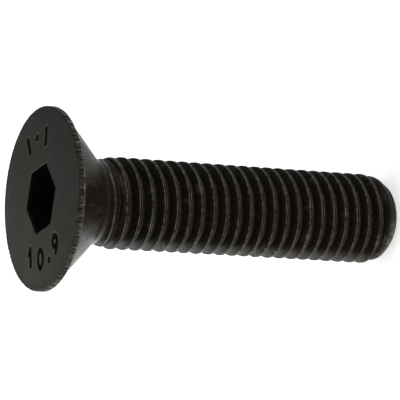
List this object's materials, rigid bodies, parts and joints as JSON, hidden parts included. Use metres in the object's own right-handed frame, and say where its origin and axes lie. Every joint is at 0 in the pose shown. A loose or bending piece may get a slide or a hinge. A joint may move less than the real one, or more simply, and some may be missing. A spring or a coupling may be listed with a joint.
{
  "type": "countersunk socket screw",
  "caption": "Flat-topped conical-headed steel screw with a hexagon socket, threaded all the way to the head and ending in a chamfered flat point.",
  "frame": {"origin": "centre of the head's flat face, on the screw's axis", "axes": "+Z along the screw's axis, out of the head's flat face; the shank runs down -Z; +X points to a corner of the hexagon socket. The screw stands on its flat point."},
  "size_m": [0.0234, 0.0234, 0.0497],
  "materials": {
    "black_oxide_steel": "black oxide on forged and rolled alloy steel, satin, lightly oiled"
  },
  "bodies": {
    "root": {"screw": "black_oxide_steel"}
  },
  "joints": []
}
